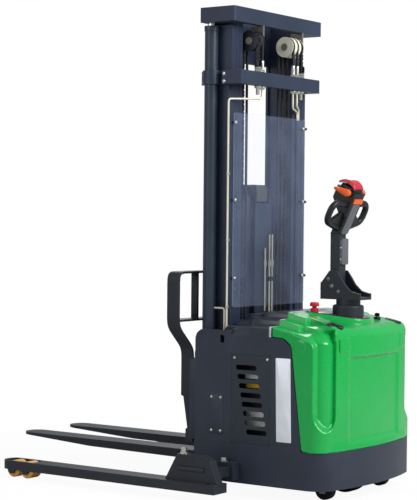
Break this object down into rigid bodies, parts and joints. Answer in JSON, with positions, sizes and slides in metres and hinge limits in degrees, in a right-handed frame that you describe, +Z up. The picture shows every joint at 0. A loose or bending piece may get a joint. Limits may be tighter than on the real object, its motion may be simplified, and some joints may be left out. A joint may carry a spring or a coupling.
{
  "type": "straddle pallet stacker",
  "caption": "Walk-behind electric straddle stacker with a three-stage mast, hooked forks on a chain-lifted carriage, sliding straddle legs and a tilting tiller.",
  "frame": {"origin": "on the floor, under the middle of the overall length and width", "axes": "+X towards the operator, -X towards the fork tips, +Z up"},
  "size_m": [1.8519, 1.242, 2.1],
  "materials": {
    "chassis_paint": "textured charcoal powder coat",
    "mast_paint": "satin slate paint",
    "cylinder_paint": "satin black paint",
    "load_paint": "satin black paint, worn on the edges",
    "panel_paint": "textured charcoal powder coat",
    "hood_gloss": "glossy green moulding",
    "cover_plastic": "grained dark plastic",
    "black_plastic": "moulded black plastic",
    "tiller_paint": "satin black paint",
    "bright_rod": "ground and plated",
    "zinc": "zinc plated",
    "steel": "turned steel",
    "chain_steel": "oiled leaf chain",
    "hose_rubber": "smooth rubber",
    "clear_sheet": "clear polycarbonate",
    "battery_case": "moulded tray",
    "drive_casting": "painted casting",
    "tyre_black": "solid tread",
    "roller_yellow": "cast polyurethane",
    "control_orange": "moulded plastic",
    "control_red": "moulded plastic"
  },
  "bodies": {
    "chassis": {"chassis_frame": "chassis_paint", "left_vent_panel": "panel_paint", "right_vent_panel": "panel_paint", "body_fasteners": "zinc", "hood": "hood_gloss", "console_plate": "black_plastic", "battery": "battery_case", "power_pack": "drive_casting", "outer_mast": "mast_paint", "mast_crossbar": "mast_paint", "lift_cylinders": "cylinder_paint", "mast_guard": "clear_sheet", "hydraulic_pipes": "zinc", "chain_anchors": "zinc", "lift_chain_rear_runs": "chain_steel", "hose_rear_runs": "hose_rubber", "tiller_collar": "black_plastic", "leg_cross_tube": "chassis_paint"},
    "battery_cover": {"battery_cover": "cover_plastic"},
    "middle_mast": {"middle_mast": "mast_paint", "middle_mast_rollers": "steel", "lift_rods": "bright_rod", "sheave_brackets": "mast_paint", "lift_chain_front_runs": "chain_steel", "hose_front_runs": "hose_rubber"},
    "left_sheave": {"left_sheave": "steel"},
    "right_sheave": {"right_sheave": "steel"},
    "inner_mast": {"inner_mast": "mast_paint", "inner_mast_rollers": "steel", "free_lift_cylinder": "cylinder_paint", "carriage_chain_rear_runs": "chain_steel"},
    "free_lift_head": {"free_lift_head": "bright_rod", "carriage_chain_front_runs": "chain_steel"},
    "head_sheaves": {"head_sheaves": "steel"},
    "carriage": {"carriage": "load_paint", "carriage_rollers": "steel", "load_backrest": "load_paint"},
    "left_fork": {"left_fork": "load_paint"},
    "right_fork": {"right_fork": "load_paint"},
    "left_leg": {"left_leg": "load_paint"},
    "right_leg": {"right_leg": "load_paint"},
    "steering": {"drive_unit": "drive_casting", "tiller_base": "tiller_paint"},
    "drive_wheel": {"drive_wheel": "tyre_black"},
    "tiller": {"tiller_arm": "tiller_paint", "tiller_head": "black_plastic"},
    "butterfly": {"butterfly": "control_orange"},
    "belly_button": {"belly_button": "control_red"},
    "horn_button": {"horn_button": "control_orange"},
    "emergency_button": {"emergency_button": "control_red"},
    "key_switch": {"key_switch": "black_plastic"},
    "left_front_load_roller": {"left_front_load_roller": "roller_yellow"},
    "left_rear_load_roller": {"left_rear_load_roller": "roller_yellow"},
    "right_front_load_roller": {"right_front_load_roller": "roller_yellow"},
    "right_rear_load_roller": {"right_rear_load_roller": "roller_yellow"},
    "left_caster_fork": {"left_caster_fork": "steel"},
    "left_caster_wheel": {"left_caster_wheel": "tyre_black"},
    "right_caster_fork": {"right_caster_fork": "steel"},
    "right_caster_wheel": {"right_caster_wheel": "tyre_black"}
  },
  "joints": [
    {"name": "middle_mast_lift", "type": "slide", "parent": "chassis", "child": "middle_mast", "axis": [0, 0, 1], "range_m": [0, 1.5], "deforming": ["lift_chain_rear_runs", "hose_rear_runs"]},
    {"name": "inner_mast_lift", "type": "slide", "parent": "middle_mast", "child": "inner_mast", "axis": [0, 0, 1], "range_m": [0, 1.5], "deforming": ["lift_chain_front_runs", "hose_front_runs"]},
    {"name": "left_sheave_turn", "type": "hinge", "parent": "middle_mast", "child": "left_sheave", "pos_m": [0.359, -0.179, 1.965], "axis": [0, 1, 0], "range_deg": [0, 2160]},
    {"name": "right_sheave_turn", "type": "hinge", "parent": "middle_mast", "child": "right_sheave", "pos_m": [0.359, 0.179, 1.965], "axis": [0, 1, 0], "range_deg": [0, 2160]},
    {"name": "carriage_lift", "type": "slide", "parent": "inner_mast", "child": "carriage", "axis": [0, 0, 1], "range_m": [0, 1.3], "deforming": ["carriage_chain_front_runs"]},
    {"name": "free_lift", "type": "slide", "parent": "inner_mast", "child": "free_lift_head", "axis": [0, 0, 1], "range_m": [0, 0.65], "deforming": ["carriage_chain_rear_runs"]},
    {"name": "head_sheaves_turn", "type": "hinge", "parent": "free_lift_head", "child": "head_sheaves", "pos_m": [0.266, 0, 1.292], "axis": [0, 1, 0], "range_deg": [0, 940]},
    {"name": "left_fork_shift", "type": "slide", "parent": "carriage", "child": "left_fork", "axis": [0, -1, 0], "range_m": [-0.04, 0.1]},
    {"name": "right_fork_shift", "type": "slide", "parent": "carriage", "child": "right_fork", "axis": [0, 1, 0], "range_m": [-0.04, 0.1]},
    {"name": "left_leg_spread", "type": "slide", "parent": "chassis", "child": "left_leg", "axis": [0, -1, 0], "range_m": [-0.04, 0.11]},
    {"name": "left_front_roller_spin", "type": "hinge", "parent": "left_leg", "child": "left_front_load_roller", "pos_m": [-0.632, -0.573, 0.038], "axis": [0, 1, 0], "continuous": true},
    {"name": "left_rear_roller_spin", "type": "hinge", "parent": "left_leg", "child": "left_rear_load_roller", "pos_m": [-0.552, -0.573, 0.038], "axis": [0, 1, 0], "continuous": true},
    {"name": "right_leg_spread", "type": "slide", "parent": "chassis", "child": "right_leg", "axis": [0, 1, 0], "range_m": [-0.04, 0.11]},
    {"name": "right_front_roller_spin", "type": "hinge", "parent": "right_leg", "child": "right_front_load_roller", "pos_m": [-0.632, 0.573, 0.038], "axis": [0, 1, 0], "continuous": true},
    {"name": "right_rear_roller_spin", "type": "hinge", "parent": "right_leg", "child": "right_rear_load_roller", "pos_m": [-0.552, 0.573, 0.038], "axis": [0, 1, 0], "continuous": true},
    {"name": "battery_cover_lift", "type": "slide", "parent": "chassis", "child": "battery_cover", "axis": [0, 0, 1], "range_m": [0, 0.25]},
    {"name": "steering_turn", "type": "hinge", "parent": "chassis", "child": "steering", "pos_m": [0.764, 0, 0.24], "axis": [0, 0, 1], "range_deg": [-90, 90]},
    {"name": "drive_wheel_spin", "type": "hinge", "parent": "steering", "child": "drive_wheel", "pos_m": [0.764, 0, 0.1], "axis": [0, 1, 0], "continuous": true},
    {"name": "left_caster_swivel", "type": "hinge", "parent": "chassis", "child": "left_caster_fork", "pos_m": [0.779, -0.235, 0.118], "axis": [0, 0, 1], "continuous": true},
    {"name": "left_caster_spin", "type": "hinge", "parent": "left_caster_fork", "child": "left_caster_wheel", "pos_m": [0.799, -0.235, 0.042], "axis": [0, 1, 0], "continuous": true},
    {"name": "right_caster_swivel", "type": "hinge", "parent": "chassis", "child": "right_caster_fork", "pos_m": [0.779, 0.235, 0.118], "axis": [0, 0, 1], "continuous": true},
    {"name": "right_caster_spin", "type": "hinge", "parent": "right_caster_fork", "child": "right_caster_wheel", "pos_m": [0.799, 0.235, 0.042], "axis": [0, 1, 0], "continuous": true},
    {"name": "tiller_tilt", "type": "hinge", "parent": "steering", "child": "tiller", "pos_m": [0.71, 0, 0.895], "axis": [0, 1, 0], "range_deg": [0, 80], "stiffness_Nm_per_rad": 18, "springref_deg": -34.38},
    {"name": "butterfly_turn", "type": "hinge", "parent": "tiller", "child": "butterfly", "pos_m": [0.7645, 0, 1.30513], "axis": [0, 1, 0], "range_deg": [-25, 25], "stiffness_Nm_per_rad": 0.6},
    {"name": "belly_button_press", "type": "slide", "parent": "tiller", "child": "belly_button", "axis": [-0.4226, 0, -0.9063], "range_m": [0, 0.008], "stiffness_N_per_m": 600},
    {"name": "horn_button_press", "type": "slide", "parent": "tiller", "child": "horn_button", "axis": [-0.9063, 0, 0.4226], "range_m": [0, 0.003], "stiffness_N_per_m": 600},
    {"name": "emergency_button_press", "type": "slide", "parent": "chassis", "child": "emergency_button", "axis": [0, 0, -1], "range_m": [0, 0.006]},
    {"name": "key_turn", "type": "hinge", "parent": "chassis", "child": "key_switch", "pos_m": [0.816, 0.165, 0.76], "axis": [0, 0, 1], "range_deg": [0, 90]}
  ],
  "couplings": [
    {"joint": "inner_mast_lift", "follows": "middle_mast_lift", "ratio": 1},
    {"joint": "left_sheave_turn", "follows": "middle_mast_lift", "rad_per_m": 25},
    {"joint": "right_sheave_turn", "follows": "middle_mast_lift", "rad_per_m": 25},
    {"joint": "free_lift", "follows": "carriage_lift", "ratio": 0.5},
    {"joint": "head_sheaves_turn", "follows": "carriage_lift", "rad_per_m": 12.5}
  ]
}
